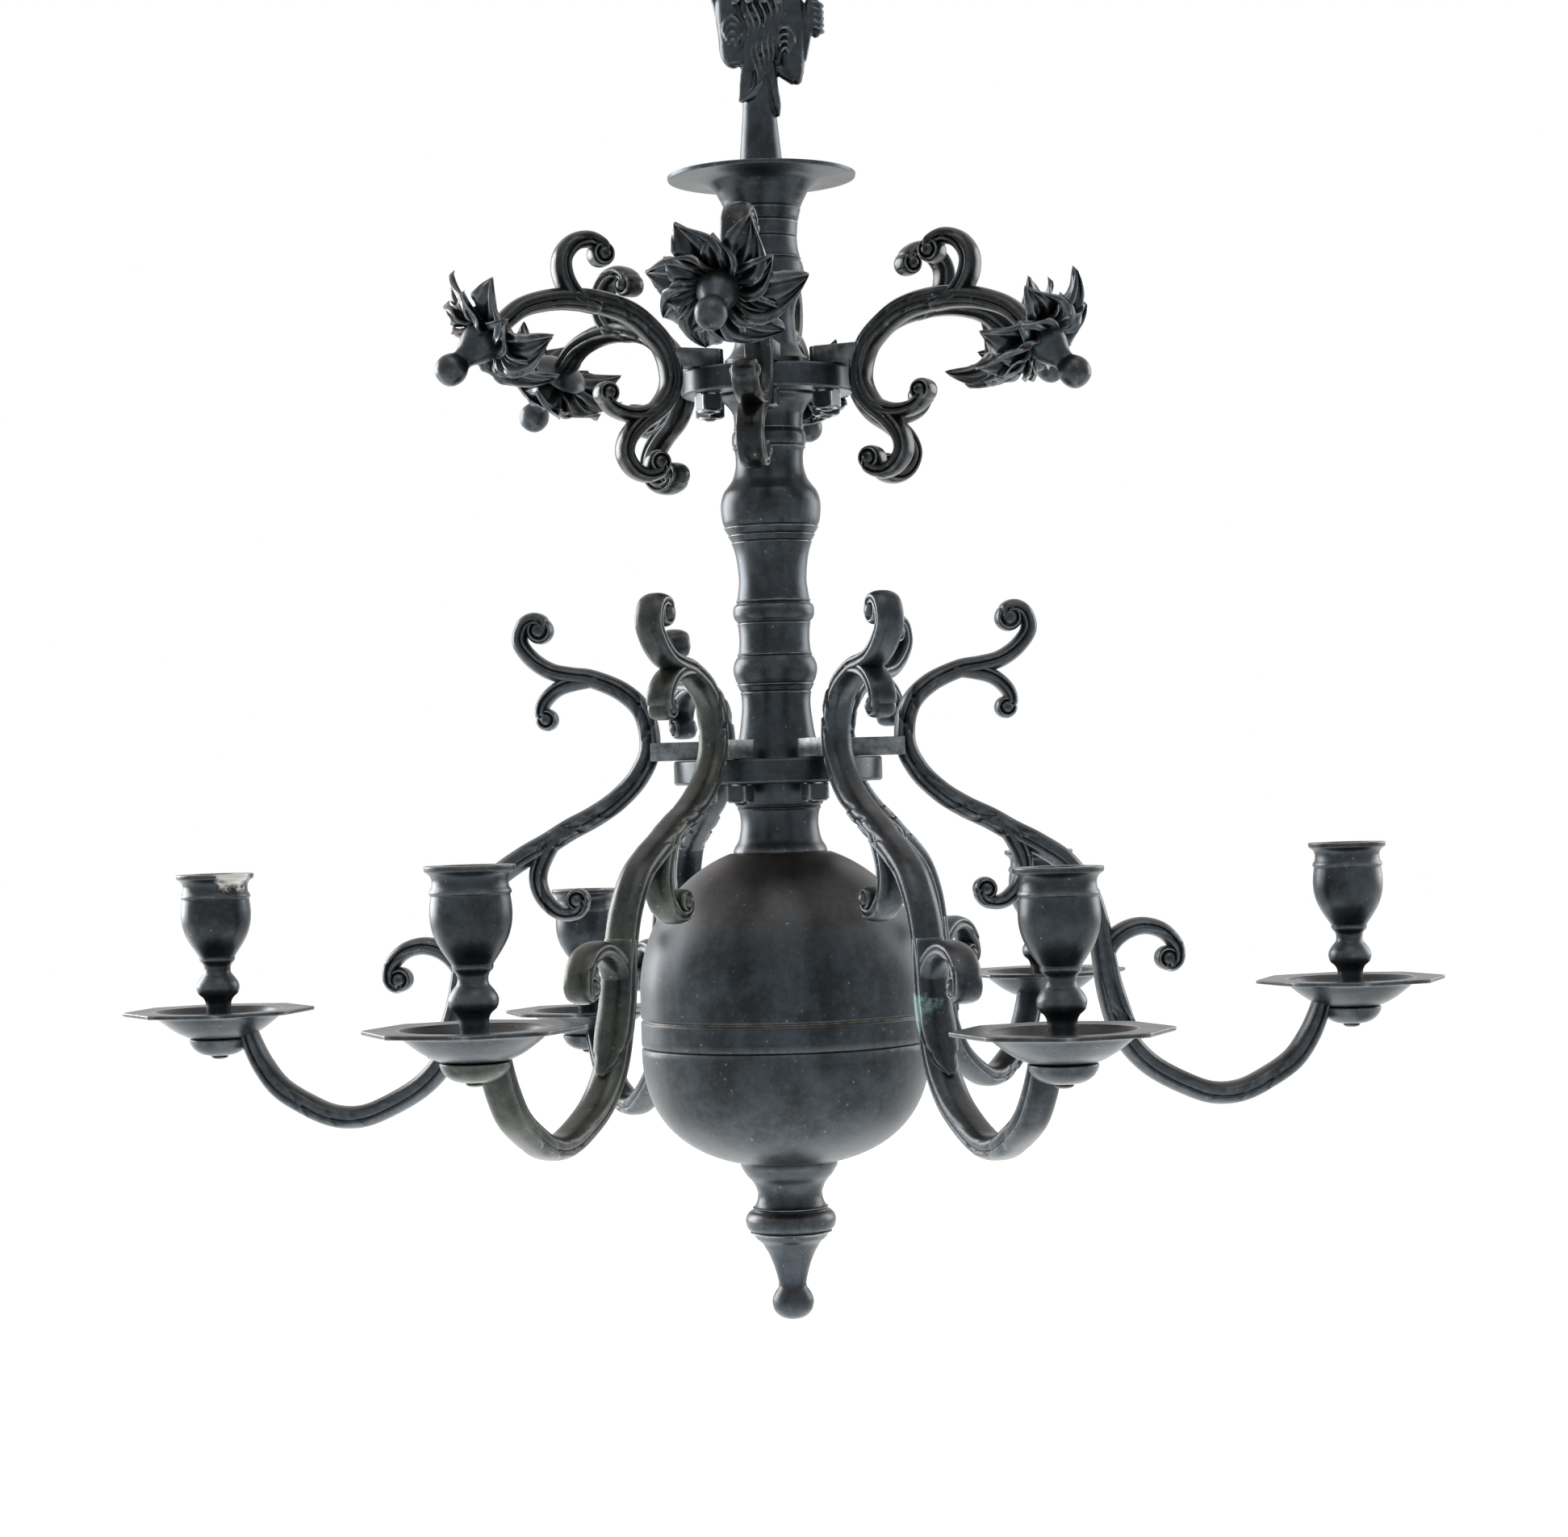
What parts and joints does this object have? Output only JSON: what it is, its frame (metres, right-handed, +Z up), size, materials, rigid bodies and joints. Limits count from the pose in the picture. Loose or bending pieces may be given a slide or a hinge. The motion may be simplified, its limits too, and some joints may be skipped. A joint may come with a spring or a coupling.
{
  "type": "candle chandelier",
  "caption": "Hanging candle chandelier: turned stem, hollow ball, S-scroll candle arms with cups and drip pans, flower-tipped scroll arms and a cast spread eagle on a hanging ring.",
  "frame": {"origin": "the point at the top of the inside of the suspension ring where the hook bears", "axes": "+Z up along the stem, -Y towards the viewer of the picture, +X to that viewer's right"},
  "size_m": [0.6646, 0.6054, 0.7745],
  "materials": {
    "bronze": "dark blue-black patinated cast bronze",
    "brown_bronze": "brown-grey patinated bronze, rubbed on its upper side",
    "green_bronze": "greenish patinated cast bronze",
    "iron": "dull dark iron"
  },
  "bodies": {
    "suspension_ring": {"suspension_ring": "iron"},
    "chandelier": {"cast_figure": "bronze", "stem_trumpet": "bronze", "upper_arm_plate": "bronze", "stem_baluster": "bronze", "lower_arm_plate": "bronze", "stem_spool": "bronze", "ball_upper_half": "bronze", "ball_lower_half": "bronze", "bottom_finial": "bronze", "central_rod": "iron"},
    "candle_branch_1": {"candle_arm_1": "green_bronze", "candle_arm_nut_1": "iron", "drip_pan_1": "brown_bronze", "candle_cup_1": "bronze"},
    "candle_branch_2": {"candle_arm_2": "bronze", "candle_arm_nut_2": "iron", "drip_pan_2": "brown_bronze", "candle_cup_2": "bronze"},
    "candle_branch_3": {"candle_arm_3": "bronze", "candle_arm_nut_3": "iron", "drip_pan_3": "brown_bronze", "candle_cup_3": "bronze"},
    "candle_branch_4": {"candle_arm_4": "bronze", "candle_arm_nut_4": "iron", "drip_pan_4": "brown_bronze", "candle_cup_4": "bronze"},
    "candle_branch_5": {"candle_arm_5": "bronze", "candle_arm_nut_5": "iron", "drip_pan_5": "brown_bronze", "candle_cup_5": "bronze"},
    "candle_branch_6": {"candle_arm_6": "bronze", "candle_arm_nut_6": "iron", "drip_pan_6": "brown_bronze", "candle_cup_6": "bronze"},
    "scroll_branch_1": {"scroll_arm_1": "bronze", "scroll_arm_nut_1": "iron", "flower_1": "brown_bronze", "pistil_1": "bronze"},
    "scroll_branch_2": {"scroll_arm_2": "bronze", "scroll_arm_nut_2": "iron", "flower_2": "brown_bronze", "pistil_2": "bronze"},
    "scroll_branch_3": {"scroll_arm_3": "bronze", "scroll_arm_nut_3": "iron", "flower_3": "brown_bronze", "pistil_3": "bronze"},
    "scroll_branch_4": {"scroll_arm_4": "bronze", "scroll_arm_nut_4": "iron", "flower_4": "brown_bronze", "pistil_4": "bronze"},
    "scroll_branch_5": {"scroll_arm_5": "bronze", "scroll_arm_nut_5": "iron", "flower_5": "brown_bronze", "pistil_5": "bronze"},
    "scroll_branch_6": {"scroll_arm_6": "bronze", "scroll_arm_nut_6": "iron", "flower_6": "brown_bronze", "pistil_6": "bronze"}
  },
  "joints": [
    {"name": "chandelier_swing", "type": "hinge", "parent": "suspension_ring", "child": "chandelier", "pos_m": [0, 0, -0.037], "axis": [0, 1, 0], "range_deg": [-45, 45]},
    {"name": "candle_arm_swivel_1", "type": "hinge", "parent": "chandelier", "child": "candle_branch_1", "pos_m": [-0.01854, -0.03086, -0.4908], "axis": [0, 0, 1], "range_deg": [-8, 8]},
    {"name": "candle_arm_swivel_2", "type": "hinge", "parent": "chandelier", "child": "candle_branch_2", "pos_m": [0.01745, -0.03149, -0.4908], "axis": [0, 0, 1], "range_deg": [-8, 8]},
    {"name": "candle_arm_swivel_3", "type": "hinge", "parent": "chandelier", "child": "candle_branch_3", "pos_m": [0.03599, -0.00063, -0.4908], "axis": [0, 0, 1], "range_deg": [-8, 8]},
    {"name": "candle_arm_swivel_4", "type": "hinge", "parent": "chandelier", "child": "candle_branch_4", "pos_m": [0.01854, 0.03086, -0.4908], "axis": [0, 0, 1], "range_deg": [-8, 8]},
    {"name": "candle_arm_swivel_5", "type": "hinge", "parent": "chandelier", "child": "candle_branch_5", "pos_m": [-0.01745, 0.03149, -0.4908], "axis": [0, 0, 1], "range_deg": [-8, 8]},
    {"name": "candle_arm_swivel_6", "type": "hinge", "parent": "chandelier", "child": "candle_branch_6", "pos_m": [-0.03599, 0.00063, -0.4908], "axis": [0, 0, 1], "range_deg": [-8, 8]},
    {"name": "scroll_arm_swivel_1", "type": "hinge", "parent": "chandelier", "child": "scroll_branch_1", "pos_m": [0, -0.0335, -0.2988], "axis": [0, 0, 1], "range_deg": [-8, 8]},
    {"name": "scroll_arm_swivel_2", "type": "hinge", "parent": "chandelier", "child": "scroll_branch_2", "pos_m": [0.02901, -0.01675, -0.2988], "axis": [0, 0, 1], "range_deg": [-8, 8]},
    {"name": "scroll_arm_swivel_3", "type": "hinge", "parent": "chandelier", "child": "scroll_branch_3", "pos_m": [0.02901, 0.01675, -0.2988], "axis": [0, 0, 1], "range_deg": [-8, 8]},
    {"name": "scroll_arm_swivel_4", "type": "hinge", "parent": "chandelier", "child": "scroll_branch_4", "pos_m": [0, 0.0335, -0.2988], "axis": [0, 0, 1], "range_deg": [-8, 8]},
    {"name": "scroll_arm_swivel_5", "type": "hinge", "parent": "chandelier", "child": "scroll_branch_5", "pos_m": [-0.02901, 0.01675, -0.2988], "axis": [0, 0, 1], "range_deg": [-8, 8]},
    {"name": "scroll_arm_swivel_6", "type": "hinge", "parent": "chandelier", "child": "scroll_branch_6", "pos_m": [-0.02901, -0.01675, -0.2988], "axis": [0, 0, 1], "range_deg": [-8, 8]}
  ]
}
